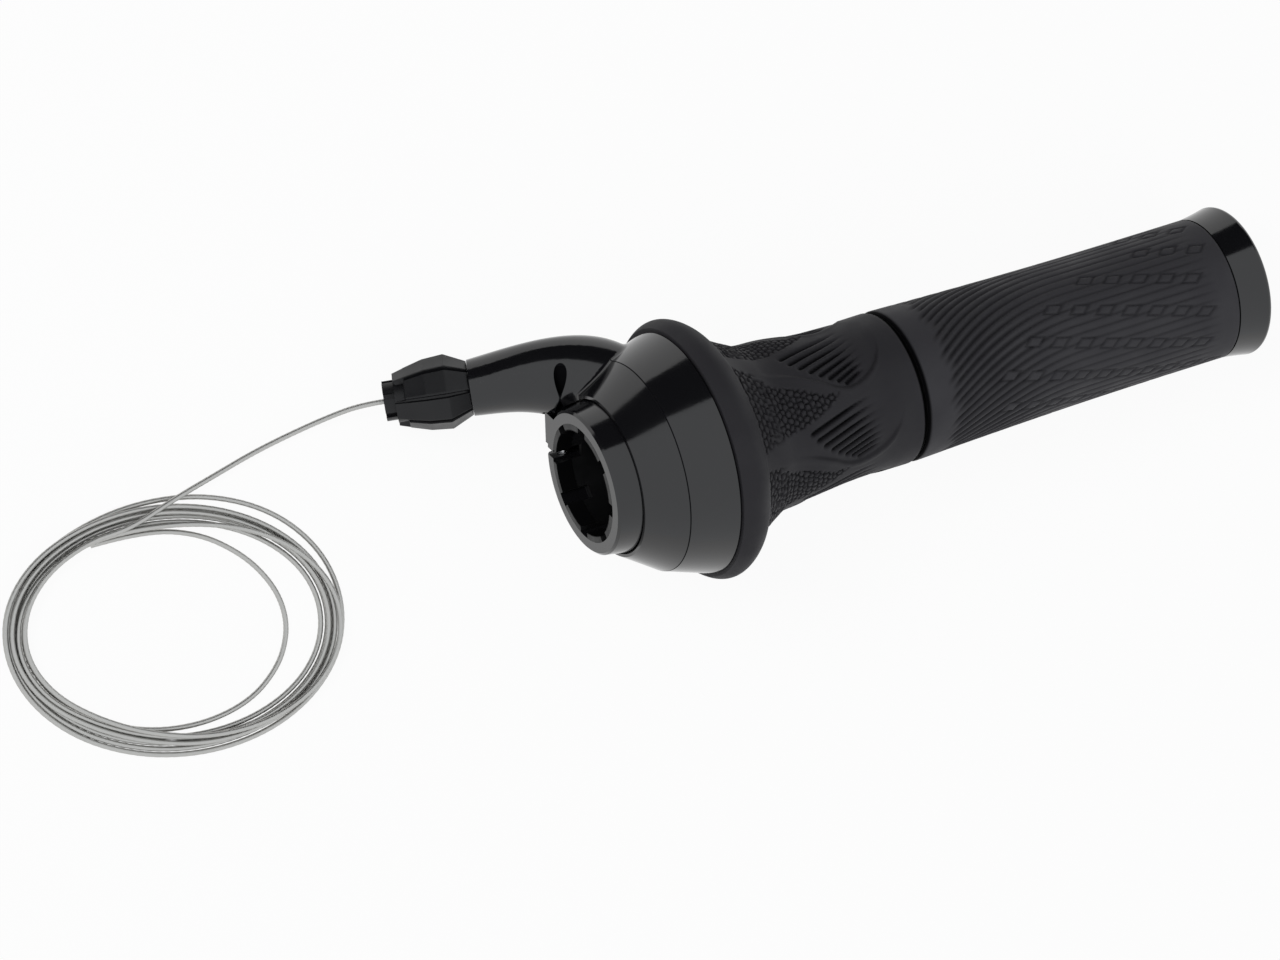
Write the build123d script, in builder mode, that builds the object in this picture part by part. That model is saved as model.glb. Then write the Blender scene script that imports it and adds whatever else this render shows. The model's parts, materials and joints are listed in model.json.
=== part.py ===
from build123d import *
import os
from math import atan2, cos, degrees, radians, sin, tan

# Twist grip shifter for a flat handlebar, lying on a bench with its cable coiled beside it.
# X runs along the bar, from the clamp face out to the bar end; Z is up as the shifter lies.
# Sizes are in millimetres. The finished parts are tilted to their resting pose at the end.

# Clearances
seat_gap = 0.03
running_gap = 0.35
free_gap = 0.6

# Handlebar and the fixed tube that slides over it
bar_diameter = 22.2
bar_play = 0.05
tube_wall = 1.35
bore_relief = 0.35
inner_land = 3.5
finger_count = 8
finger_slot_angle = 13
finger_length = 6.0
tube_flange = 1.1
tube_flange_thickness = 0.9

# Split collar that clamps the tube on the bar
collar_reach = 5.0
collar_length = 8.0
collar_front_wall = 2.7
collar_rear_wall = 3.5
collar_edge = 0.5
slit_angle = -62.8
slit_width = 1.6
ear_start = 0.6
ear_length = 4.7
ear_wall = 0.6
ear_reach = 8.0
pinch_r = 13.9
pinch_screw_diameter = 2.4
pinch_head_diameter = 4.4
pinch_head_height = 2.4
pinch_hex = 2.0
pinch_hex_depth = 1.3
pinch_seat = 4.6
nut_seat = 3.0
nut_height = 2.8
nut_width = 4.4
nut_thickness = 2.2
access_diameter = 2.6
access_length = 12.0
screw_play = 0.1

# Moulded housing
cone_front_r = 17.0
cone_length = 7.6
crease_r = 22.2
barrel_length = 9.6
barrel_rear_r = 25.5
housing_wall = 1.6
bulkhead = 1.4
arm_fillet = 1.5

# Cable spool and cable path through the arm
cable_diameter = 1.1
cable_play = 0.25
spool_cable_r = 18.7
spool_cable_x = 17.5
spool_length = 9.4
spool_rim_width = 6.4
spool_rim_depth = 0.8
spool_hub_wall = 2.0
wrap_angle = 35
head_diameter = 4.4
head_length = 4.4
head_edge = 0.4
exit_angle = 12
exit_run = 9.3
arm_turn = 65
arm_run = 31.5
bend_radius = 8.0
guide_wall = 0.45
guide_start = 6.0

# Cable arm: distance from its end, half height, half width and drop of each section
arm_sections = [
    (0, 5.8, 5.8, 0),
    (9, 6.8, 6.2, 0.3),
    (18, 8.6, 7.0, -0.9),
    (26, 10.4, 8.6, -3.8),
]
arm_root_height = 6.0
arm_root_width = 4.0
arm_root_drop = -4.0

# Barrel adjuster
thread_diameter = 6.4
thread_depth = 10.0
thread_play = 0.1
knob_length = 13.0
knob_back_r = 5.5
knob_peak_r = 7.7
knob_mid_r = 7.3
knob_front_r = 5.9
knob_peak = 4.4
knob_mid = 8.8
knob_shoulder = 4.6
pad_count = 6
pad_flat_r = 7.3
pad_groove_width = 2.4
pad_groove_depth = 1.5
core_diameter = 8.2
core_overhang = 4.7
spline_width = 1.3
spline_depth = 0.7
spline_grip = 2.6
ferrule_diameter = 5.1
ferrule_depth = 7.0
spring_wire = 0.55
spring_room = 3.2
spring_turns = 3

# Ball bearings between the tube and the turning grip
ball_diameter = 1.6
ball_play = 0.02
ball_count = 18
cage_thickness = 0.9
cage_width = 3.0
bearing_stations = {"inboard": 25.5, "middle": 44.0, "outboard": 62.5}

# Turning grip: rigid core and rubber sleeve
core_wall = 0.9
core_flange = 1.6
flange_lap = 2.5
dust_lip = 1.0
dust_lip_length = 1.4
key_height = 0.9
key_width = 3.0
key_count = 3
twist_length = 48.9
twist_end_gap = 5.0
flange_face_r = 26.3
flange_peak_r = 27.4
flange_peak = 3.15
flange_slope = 6.7
flange_slope_r = 25.2
flange_depth = 14.6
waist_r = 17.9
waist_round = 1.0
twist_waist = 21.3
twist_waist_r = 17.35
twist_mid_r = 16.35
twist_end_r = 16.2
twist_mid = 32.3
end_round = 0.6
scoop_count = 6
scoop_depth = 0.55
scoop_angle = 72
scoop_slope = 0.03
scoop_start = (-10.8, -5.6)
scoop_tip = (1.2, 0.6)
scoop_end = (11.2, -7.5)
scoop_back = -9.5

# Index ring and the leaf spring that clicks in it
index_notches = 33
index_inner_r = 16.2
notch_r = 0.75
index_ring_thickness = 1.6
leaf_thickness = 0.45
leaf_angle = 110
leaf_place = 200
leaf_nose_r = 0.6
leaf_nose_lift = 0.45

# Thrust washer, retaining ring and the interlock with the outer grip
washer_thickness = 0.6
ring_thickness = 0.9
ring_bite = 0.45
ring_stand = 1.3
ring_opening = 50
jaw_count = 6
jaw_angle = 14
jaw_length = 2.8

# Outer grip that does not turn, and its lock collar
grip_gap = 1.0
rest_length = 77.0
rest_core_wall = 1.15
rest_flange_r = 15.3
rest_flange = 1.4
rest_start_r = 16.2
rest_mid_r = 15.3
rest_end_r = 15.2
lock_length = 7.4
lock_flare_r = 16.2
lock_round = 1.0
lock_slit = 1.4
lock_angle = -100
lock_slots = 4
lock_screw_diameter = 2.0
lock_head_diameter = 3.4
lock_head_height = 1.8
lock_hex = 1.5
lock_screw_r = 14.1
lock_screw_place = 4.4
lock_seat = 3.0
lock_bite = 3.1

# Cable outside the shifter: points of the lead on the bench, in the resting frame
lead_straight = 9.0
lead_points = [
    (-48.0, 24.0),
    (-58.5, 22.2),
    (-70.5, 18.8),
    (-81.5, 15.6),
]
coil_centre = (-82.4, -8.3)
coil_length = 72.0
coil_width = 53.0
coil_turn = -14
coil_band = 9.5
coil_height = 3.4

# Stations along the bar
bore_r = bar_diameter / 2 + bar_play
relief_r = bore_r + bore_relief
tube_r = bore_r + tube_wall
crease_x = collar_reach + cone_length
barrel_rear_x = crease_x + barrel_length
bulkhead_x = collar_length + free_gap
bulkhead_rear_x = bulkhead_x + bulkhead
flange_x = barrel_rear_x + running_gap
twist_end_x = flange_x + twist_length
core_end_x = twist_end_x - twist_end_gap
rest_x = twist_end_x + grip_gap
rest_end_x = rest_x + rest_length
lock_x = rest_end_x + seat_gap
lock_end_x = lock_x + lock_length
tube_end_x = rest_x - seat_gap

# Radii of the bearing stack, and sizes along the cable
ball_ring_r = tube_r + ball_play + ball_diameter / 2
core_bore_r = ball_ring_r + ball_diameter / 2 + ball_play
core_r = core_bore_r + core_wall
sleeve_r = core_r + seat_gap
guide_r = cable_diameter / 2 + cable_play + guide_wall
adjuster_mouth = knob_length + core_overhang


def cone_r(x):
    return cone_front_r + (crease_r - cone_front_r) * (x - collar_reach) / cone_length


def barrel_r(x):
    return crease_r + (barrel_rear_r - crease_r) * (x - crease_x) / barrel_length


def turned(*outline):
    with BuildSketch(Plane.XZ) as profile:
        with BuildLine():
            Polyline(*outline, close=True)
        make_face()
    return profile.sketch


def around(angle):
    return Vector(0, cos(radians(angle)), sin(radians(angle)))


# Cable plane: touches the spool at the exit angle, with its local x along the leaving cable and its y inboard.
spool_out = around(exit_angle)
cable_plane = Plane(
    origin=spool_out * spool_cable_r + Vector(spool_cable_x, 0, 0),
    x_dir=around(exit_angle - 90),
    z_dir=spool_out,
)
turn = radians(arm_turn)
arm_corner = Vector(exit_run, 0)
arm_heading = Vector(cos(turn), sin(turn))
arm_tip = arm_corner + arm_heading * arm_run
bend_reach = bend_radius * tan(turn / 2)
bend_start = (exit_run - bend_reach, 0)
bend_end = cable_plane.from_local_coords(arm_corner + arm_heading * bend_reach)
adjuster_origin = cable_plane.from_local_coords(arm_tip)
adjuster_heading = cable_plane.from_local_coords(arm_tip + arm_heading) - adjuster_origin
adjuster = Plane(origin=adjuster_origin, x_dir=spool_out, z_dir=adjuster_heading)


def along_arm(distance):
    place = cable_plane.from_local_coords(arm_tip - arm_heading * distance)
    return Plane(origin=place, x_dir=spool_out, z_dir=adjuster_heading)


# Clamp plane: local x out through the slit, z along the pinch screw towards its head.
slit_out = around(slit_angle)
pinch_x = ear_start + ear_length / 2
pinch = Plane(origin=slit_out * pinch_r + Vector(pinch_x, 0, 0), x_dir=slit_out, z_dir=around(slit_angle + 90))

# Fixed tube around the bar, with clamping fingers inboard and interlock slots outboard
with BuildPart() as bar_tube:
    groove_x = core_end_x + washer_thickness + 2 * seat_gap
    revolve(
        turned(
            (0, bore_r),
            (inner_land, bore_r),
            (inner_land, relief_r),
            (tube_end_x, relief_r),
            (tube_end_x, tube_r),
            (groove_x + ring_thickness + seat_gap, tube_r),
            (groove_x + ring_thickness + seat_gap, tube_r - ring_bite),
            (groove_x, tube_r - ring_bite),
            (groove_x, tube_r),
            (bulkhead_rear_x + tube_flange_thickness, tube_r),
            (bulkhead_rear_x + tube_flange_thickness, tube_r + tube_flange),
            (bulkhead_rear_x, tube_r + tube_flange),
            (bulkhead_rear_x, tube_r),
            (0, tube_r),
        ),
        axis=Axis.X,
    )
    for start, length, count, angle in (
        (0, finger_length, finger_count, finger_slot_angle),
        (tube_end_x - jaw_length, jaw_length, jaw_count, jaw_angle),
    ):
        with BuildSketch(Plane.YZ.offset(start)):
            with PolarLocations(tube_r, count, start_angle=slit_angle):
                Rectangle(4 * tube_wall, 2 * tube_r * sin(radians(angle / 2)))
        extrude(amount=length, mode=Mode.SUBTRACT)

# Split clamp collar with an ear for the head of the pinch screw
collar_bore_r = tube_r + seat_gap
ear_top = pinch_r + pinch_head_diameter / 2 + ear_wall
with BuildPart() as clamp_collar:
    revolve(
        turned(
            (0, collar_bore_r),
            (collar_length, collar_bore_r),
            (collar_length, collar_bore_r + collar_rear_wall),
            (collar_reach, collar_bore_r + collar_rear_wall),
            (collar_edge, collar_bore_r + collar_front_wall),
            (0, collar_bore_r + collar_front_wall - collar_edge),
        ),
        axis=Axis.X,
    )
    with BuildSketch(Plane(origin=(ear_start, 0, 0), x_dir=slit_out, z_dir=(1, 0, 0))):
        Rectangle(ear_top, ear_reach, align=(Align.MIN, Align.MIN))
        Circle(collar_bore_r + collar_front_wall / 2, mode=Mode.SUBTRACT)
    extrude(amount=ear_length)
    with BuildSketch(Plane(origin=(0, 0, 0), x_dir=slit_out, z_dir=(1, 0, 0))):
        with Locations((1.5 * tube_r, 0)):
            Rectangle(3 * tube_r, slit_width)
    extrude(amount=collar_length, mode=Mode.SUBTRACT)
    with BuildSketch(pinch.offset(-nut_seat - nut_thickness - screw_play)):
        Circle(pinch_screw_diameter / 2 + screw_play)
    extrude(amount=nut_seat + nut_thickness + pinch_seat + screw_play, mode=Mode.SUBTRACT)
    with BuildSketch(pinch.offset(pinch_seat)):
        Circle(pinch_head_diameter / 2 + screw_play)
    extrude(amount=ear_reach, mode=Mode.SUBTRACT)
    with BuildSketch(pinch.offset(-nut_seat)):
        with Locations((-nut_height / 2 - screw_play, 0)):
            Rectangle(3 * nut_height, nut_width + 2 * screw_play, align=(Align.MIN, Align.CENTER))
    extrude(amount=-nut_thickness - screw_play, mode=Mode.SUBTRACT)

# Pinch screw, its head in the ear
with BuildPart() as clamp_screw:
    with BuildSketch(pinch.offset(pinch_seat)):
        Circle(pinch_screw_diameter / 2)
    extrude(amount=-pinch_seat - nut_seat - nut_thickness)
    with BuildSketch(pinch.offset(pinch_seat)):
        Circle(pinch_head_diameter / 2)
    extrude(amount=pinch_head_height)
    with BuildSketch(pinch.offset(pinch_seat + pinch_head_height)):
        RegularPolygon(pinch_hex / 2, 6, major_radius=False)
    extrude(amount=-pinch_hex_depth, mode=Mode.SUBTRACT)

# Plate nut in a pocket of the collar
with BuildPart() as clamp_nut:
    with BuildSketch(pinch.offset(-nut_seat)):
        Rectangle(nut_height, nut_width)
        Circle(pinch_screw_diameter / 2 + seat_gap, mode=Mode.SUBTRACT)
    extrude(amount=-nut_thickness)

# Housing: cone and barrel turned about the bar, with the cable arm lofted out of its side
with BuildPart() as housing:
    revolve(
        turned(
            (collar_reach, 0),
            (collar_reach, cone_front_r),
            (crease_x, crease_r),
            (barrel_rear_x, barrel_rear_r),
            (barrel_rear_x, 0),
        ),
        axis=Axis.X,
    )
    for distance, height, width, drop in arm_sections:
        with BuildSketch(along_arm(distance)):
            with Locations((drop, 0)):
                Ellipse(height, width)
    with BuildSketch(Plane(origin=cable_plane.origin, x_dir=spool_out, z_dir=-cable_plane.x_dir)):
        with Locations((arm_root_drop, 0)):
            Ellipse(arm_root_height, arm_root_width)
    loft()
    fillet(housing.edges(Select.NEW), arm_fillet)
    # Spool chamber, open towards the grip
    revolve(
        turned(
            (bulkhead_rear_x, 0),
            (bulkhead_rear_x, cone_r(bulkhead_rear_x) - housing_wall),
            (crease_x, crease_r - housing_wall),
            (barrel_rear_x, barrel_rear_r - housing_wall),
            (barrel_rear_x, 0),
        ),
        axis=Axis.X,
        mode=Mode.SUBTRACT,
    )
    # Seat of the clamp in front of the bulkhead, and the hole for the tube
    revolve(
        turned(
            (0, 0),
            (0, collar_bore_r + collar_rear_wall + running_gap),
            (bulkhead_x, collar_bore_r + collar_rear_wall + running_gap),
            (bulkhead_x, tube_r + seat_gap),
            (bulkhead_rear_x, tube_r + seat_gap),
            (bulkhead_rear_x, 0),
        ),
        axis=Axis.X,
        mode=Mode.SUBTRACT,
    )
    # Notch for the clamp ear, and the way through the arm to the head of the pinch screw
    with BuildSketch(Plane(origin=(ear_start - free_gap, 0, 0), x_dir=slit_out, z_dir=(1, 0, 0))):
        with Locations((0, -slit_width)):
            Rectangle(ear_top + running_gap, ear_reach + slit_width + running_gap, align=(Align.MIN, Align.MIN))
    extrude(amount=ear_length + free_gap + running_gap, mode=Mode.SUBTRACT)
    with BuildSketch(pinch.offset(pinch_seat + pinch_head_height)):
        Circle(access_diameter / 2)
    extrude(amount=access_length, mode=Mode.SUBTRACT)
    # Cable channel, the wider bore for its guide and the threaded bore in the end of the arm
    with BuildLine(cable_plane):
        Line((0, 0), bend_start)
        JernArc(bend_start, (1, 0), bend_radius, arm_turn)
        Line(bend_end, adjuster.origin)
    with BuildSketch(Plane(origin=cable_plane.origin, x_dir=spool_out, z_dir=cable_plane.x_dir)):
        Circle(cable_diameter / 2 + cable_play)
    sweep(mode=Mode.SUBTRACT)
    with BuildSketch(adjuster):
        Circle(guide_r + seat_gap)
    extrude(amount=guide_start - arm_run - seat_gap, mode=Mode.SUBTRACT)
    with BuildSketch(adjuster):
        Circle(thread_diameter / 2 + thread_play)
    extrude(amount=-thread_depth - free_gap, mode=Mode.SUBTRACT)

# Cable guide that lines the straight run inside the arm
with BuildPart() as cable_guide:
    with BuildSketch(along_arm(thread_depth + free_gap)):
        Circle(guide_r)
        Circle(cable_diameter / 2 + cable_play, mode=Mode.SUBTRACT)
    extrude(amount=thread_depth + free_gap + guide_start - arm_run)

# Cable from the spool, through the guide and the adjuster, to the mouth of the adjuster
with BuildPart() as cable_inner:
    with BuildLine(cable_plane):
        Line((0, 0), bend_start)
        JernArc(bend_start, (1, 0), bend_radius, arm_turn)
        Line(bend_end, adjuster.offset(adjuster_mouth).origin)
    with BuildSketch(Plane(origin=cable_plane.origin, x_dir=spool_out, z_dir=cable_plane.x_dir)):
        Circle(cable_diameter / 2)
    sweep()

# Cable lying in the spool groove, from where it leaves the spool back to its head
with BuildPart() as cable_wrap:
    with BuildSketch(Plane(origin=cable_plane.origin, x_dir=spool_out, z_dir=cable_plane.x_dir)):
        Circle(cable_diameter / 2)
    revolve(axis=Axis.X, revolution_arc=wrap_angle)

# Cast head on the end of the cable
head_out = around(exit_angle + wrap_angle)
head_plane = Plane(
    origin=head_out * spool_cable_r + Vector(spool_cable_x, 0, 0),
    x_dir=head_out,
    z_dir=around(exit_angle + wrap_angle + 90),
)
with BuildPart() as cable_head:
    with BuildSketch(head_plane):
        Circle(head_diameter / 2)
    extrude(amount=head_length)
    chamfer(cable_head.edges().filter_by(GeomType.CIRCLE), head_edge)

# Spool that winds the cable, keyed to the grip core
spool_x = spool_cable_x - spool_length / 2
groove_r = spool_cable_r - cable_diameter / 2 - seat_gap
groove_half = cable_diameter / 2 + cable_play
rim_r = spool_cable_r + spool_rim_depth
hub_r = sleeve_r + spool_hub_wall
with BuildPart() as cable_spool:
    revolve(
        turned(
            (spool_x, sleeve_r),
            (spool_x, hub_r),
            (spool_cable_x - spool_rim_width / 2, hub_r),
            (spool_cable_x - spool_rim_width / 2, rim_r),
            (spool_cable_x - groove_half, rim_r),
            (spool_cable_x - groove_half, groove_r),
            (spool_cable_x + groove_half, groove_r),
            (spool_cable_x + groove_half, rim_r),
            (spool_cable_x + spool_rim_width / 2, rim_r),
            (spool_cable_x + spool_rim_width / 2, hub_r),
            (spool_x + spool_length, hub_r),
            (spool_x + spool_length, sleeve_r),
        ),
        axis=Axis.X,
    )
    with BuildSketch(head_plane.offset(-screw_play)):
        Circle(head_diameter / 2 + screw_play)
        with Locations((rim_r, 0)):
            Rectangle(2 * rim_r, head_diameter + 2 * screw_play)
    extrude(amount=head_length + 2 * screw_play, mode=Mode.SUBTRACT)
    with BuildSketch(Plane.YZ.offset(spool_x)):
        with PolarLocations(core_r, key_count):
            Rectangle(2 * (key_height + seat_gap), key_width + 2 * seat_gap)
    extrude(amount=spool_length, mode=Mode.SUBTRACT)

# Rigid core of the turning grip: bearing sleeve, drive keys, flange plate and dust lip
core_x = bulkhead_rear_x + running_gap
plate_r = flange_face_r - flange_lap
lip_x = flange_x - running_gap - dust_lip_length
lip_r = barrel_r(lip_x) - housing_wall - running_gap
with BuildPart() as twist_core:
    revolve(
        turned(
            (core_x, core_bore_r),
            (core_x, core_r),
            (flange_x, core_r),
            (flange_x, lip_r - dust_lip),
            (lip_x, lip_r - dust_lip),
            (lip_x, lip_r),
            (flange_x, lip_r),
            (flange_x, plate_r),
            (flange_x + core_flange, plate_r),
            (flange_x + core_flange, core_r),
            (core_end_x, core_r),
            (core_end_x, core_bore_r),
        ),
        axis=Axis.X,
    )
    with BuildSketch(Plane.YZ.offset(spool_x)):
        with PolarLocations(core_r, key_count):
            Rectangle(2 * key_height, key_width)
        Circle(core_bore_r + seat_gap, mode=Mode.SUBTRACT)
    extrude(amount=spool_length)

# Rubber sleeve of the turning grip with its thumb flange
seat_x = flange_x + core_flange + seat_gap
with BuildPart() as twist_rubber:
    with BuildSketch(Plane.XZ):
        with BuildLine():
            brow = Spline(
                (flange_x, flange_face_r),
                (flange_x + flange_peak, flange_peak_r),
                (flange_x + flange_slope, flange_slope_r),
                (flange_x + flange_depth, waist_r + waist_round),
                tangents=[(1, 0.8), (1, -0.5)],
            )
            hollow = Spline(
                brow @ 1,
                (flange_x + flange_depth + 2 * waist_round, waist_r),
                (flange_x + twist_waist, twist_waist_r),
                (flange_x + twist_mid, twist_mid_r),
                (twist_end_x - end_round, twist_end_r),
                tangents=[(1, -0.5), (1, 0)],
            )
            Polyline(
                hollow @ 1,
                (twist_end_x, twist_end_r - end_round),
                (twist_end_x, sleeve_r),
                (seat_x, sleeve_r),
                (seat_x, plate_r + seat_gap),
                (flange_x, plate_r + seat_gap),
                (flange_x, flange_face_r),
            )
        make_face()
    revolve(axis=Axis.X)
    # Thumb scoops, each deepest under its curved rim
    for place in range(scoop_count):
        scoop_out = around(scoop_angle + place * 360 / scoop_count)
        scoop_floor = Plane(
            origin=scoop_out * (twist_mid_r - scoop_depth) + Vector(flange_x + twist_mid, 0, 0),
            x_dir=Vector(1, 0, 0) - scoop_out * scoop_slope,
            z_dir=scoop_out + Vector(scoop_slope, 0, 0),
        )
        with BuildSketch(scoop_floor):
            with BuildLine():
                ThreePointArc(scoop_start, scoop_tip, scoop_end)
                Polyline(scoop_end, (scoop_end[0], scoop_back), (scoop_start[0], scoop_back), scoop_start)
            make_face()
        extrude(amount=4 * scoop_depth, mode=Mode.SUBTRACT)

# Index ring fixed on the bulkhead, notched all round inside
with BuildPart() as index_ring:
    with BuildSketch(Plane.YZ.offset(bulkhead_rear_x)):
        Circle(cone_r(bulkhead_rear_x) - housing_wall - seat_gap)
        Circle(index_inner_r, mode=Mode.SUBTRACT)
        with PolarLocations(index_inner_r, index_notches, start_angle=leaf_place):
            Circle(notch_r, mode=Mode.SUBTRACT)
    extrude(amount=index_ring_thickness)

# Leaf spring that sits on the core and clicks in the index ring
with BuildPart() as index_spring:
    with BuildSketch(Plane.YZ.offset(core_x)):
        with BuildLine():
            CenterArc((0, 0), sleeve_r + leaf_thickness / 2, leaf_place - leaf_angle / 2, leaf_angle)
        trace(line_width=leaf_thickness)
        with PolarLocations(sleeve_r + leaf_thickness + leaf_nose_lift, 1, start_angle=leaf_place):
            Circle(leaf_nose_r)
    extrude(amount=index_ring_thickness - running_gap)

# Bearing cages and their balls
bearings = {}
for station, bearing_x in bearing_stations.items():
    with BuildPart() as cage:
        with BuildSketch(Plane.YZ.offset(bearing_x - cage_width / 2)):
            Circle(ball_ring_r + cage_thickness / 2)
            Circle(ball_ring_r - cage_thickness / 2, mode=Mode.SUBTRACT)
        extrude(amount=cage_width)
        with Locations(Plane.YZ.offset(bearing_x)):
            with PolarLocations(ball_ring_r, ball_count):
                Cylinder(
                    ball_diameter / 2 + ball_play,
                    2 * cage_thickness,
                    rotation=(0, 90, 0),
                    mode=Mode.SUBTRACT,
                )
    bearings[f"bearing_cage_{station}"] = cage
    with BuildPart() as balls:
        with Locations(Plane.YZ.offset(bearing_x)):
            with PolarLocations(ball_ring_r, ball_count):
                Sphere(ball_diameter / 2)
    bearings[f"bearing_balls_{station}"] = balls

# Thrust washer and retaining ring that hold the turning grip on the tube
with BuildPart() as thrust_washer:
    with BuildSketch(Plane.YZ.offset(core_end_x + seat_gap)):
        Circle(core_r - seat_gap)
        Circle(tube_r + seat_gap, mode=Mode.SUBTRACT)
    extrude(amount=washer_thickness)
with BuildPart() as retaining_ring:
    ring_width = ring_bite + ring_stand - seat_gap
    with BuildSketch(Plane.YZ.offset(groove_x + seat_gap / 2)):
        with BuildLine():
            CenterArc(
                (0, 0),
                tube_r + ring_stand - ring_width / 2,
                ring_opening / 2,
                360 - ring_opening,
            )
        trace(line_width=ring_width)
    extrude(amount=ring_thickness)

# Core of the outer grip, with jaws that lock in the tube and a split end under the lock collar
rest_core_r = bore_r + rest_core_wall
rest_core_end_x = lock_end_x - lock_round
with BuildPart() as rest_core:
    revolve(
        turned(
            (rest_x, bore_r),
            (rest_x, rest_flange_r),
            (rest_x + rest_flange, rest_flange_r),
            (rest_x + rest_flange, rest_core_r),
            (rest_core_end_x, rest_core_r),
            (rest_core_end_x, bore_r),
        ),
        axis=Axis.X,
    )
    with BuildSketch(Plane.YZ.offset(rest_x)):
        with PolarLocations(tube_r, jaw_count, start_angle=slit_angle):
            Rectangle(4 * tube_wall, 2 * (tube_r * sin(radians(jaw_angle / 2)) - screw_play))
        Circle(tube_r - seat_gap, mode=Mode.INTERSECT)
        Circle(relief_r + seat_gap, mode=Mode.SUBTRACT)
    extrude(amount=-(jaw_length - screw_play))
    with BuildSketch(Plane.YZ.offset(rest_core_end_x)):
        with PolarLocations(rest_core_r, lock_slots, start_angle=lock_angle):
            Rectangle(4 * rest_core_wall, lock_slit)
    extrude(amount=-lock_length, mode=Mode.SUBTRACT)

# Rubber of the outer grip
rest_seat_x = rest_x + rest_flange + seat_gap
with BuildPart() as rest_rubber:
    with BuildSketch(Plane.XZ):
        with BuildLine():
            side = Spline(
                (rest_x + end_round, rest_start_r),
                (rest_x + rest_length / 2, rest_mid_r),
                (rest_end_x, rest_end_r),
            )
            Polyline(
                side @ 1,
                (rest_end_x, rest_core_r + seat_gap),
                (rest_seat_x, rest_core_r + seat_gap),
                (rest_seat_x, rest_flange_r + seat_gap),
                (rest_x, rest_flange_r + seat_gap),
                (rest_x, rest_start_r - end_round),
                side @ 0,
            )
        make_face()
    revolve(axis=Axis.X)

# Split lock collar at the bar end
lock_out = around(lock_angle)
lock_pinch = Plane(
    origin=lock_out * lock_screw_r + Vector(lock_x + lock_screw_place, 0, 0),
    x_dir=lock_out,
    z_dir=around(lock_angle + 90),
)
with BuildPart() as lock_collar:
    with BuildSketch(Plane.XZ):
        with BuildLine():
            flare = Spline(
                (lock_x, rest_end_r),
                (lock_x + lock_length / 2, (rest_end_r + lock_flare_r) / 2),
                (lock_end_x - lock_round, lock_flare_r),
            )
            nose = RadiusArc(flare @ 1, (lock_end_x, lock_flare_r - lock_round), lock_round)
            Polyline(
                nose @ 1,
                (lock_end_x, rest_core_r + seat_gap),
                (lock_x, rest_core_r + seat_gap),
                flare @ 0,
            )
        make_face()
    revolve(axis=Axis.X)
    with BuildSketch(Plane(origin=(lock_x, 0, 0), x_dir=lock_out, z_dir=(1, 0, 0))):
        with Locations((lock_screw_r, 0)):
            Rectangle(2 * lock_screw_r, lock_slit)
    extrude(amount=lock_length, mode=Mode.SUBTRACT)
    with BuildSketch(lock_pinch.offset(lock_seat)):
        Circle(lock_screw_diameter / 2 + screw_play)
    extrude(amount=-lock_seat - lock_bite, mode=Mode.SUBTRACT)
    with BuildSketch(lock_pinch.offset(lock_seat)):
        Circle(lock_head_diameter / 2 + screw_play)
    extrude(amount=lock_screw_r, mode=Mode.SUBTRACT)

# Pinch screw of the lock collar
with BuildPart() as lock_screw:
    with BuildSketch(lock_pinch.offset(lock_seat)):
        Circle(lock_screw_diameter / 2)
    extrude(amount=-lock_seat - lock_bite + screw_play)
    with BuildSketch(lock_pinch.offset(lock_seat)):
        Circle(lock_head_diameter / 2)
    extrude(amount=lock_head_height)
    with BuildSketch(lock_pinch.offset(lock_seat + lock_head_height)):
        RegularPolygon(lock_hex / 2, 6, major_radius=False)
    extrude(amount=-lock_head_height / 2, mode=Mode.SUBTRACT)

# Adjuster bolt: threaded shank in the arm, splined nose that takes the end of the cable casing
nose_start = knob_shoulder + spring_room
with BuildPart() as adjuster_bolt:
    with BuildSketch(adjuster.offset(-thread_depth)):
        Circle(thread_diameter / 2)
    extrude(amount=thread_depth + nose_start)
    with BuildSketch(adjuster.offset(nose_start)):
        Circle(core_diameter / 2)
        with PolarLocations(core_diameter / 2, pad_count):
            Rectangle(2 * spline_depth, spline_width, mode=Mode.SUBTRACT)
    extrude(amount=adjuster_mouth - nose_start)
    with BuildSketch(adjuster.offset(adjuster_mouth)):
        Circle(ferrule_diameter / 2)
    extrude(amount=-ferrule_depth, mode=Mode.SUBTRACT)
    with BuildSketch(adjuster.offset(adjuster_mouth)):
        Circle(cable_diameter / 2 + cable_play)
    extrude(amount=-adjuster_mouth - thread_depth, mode=Mode.SUBTRACT)

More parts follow.
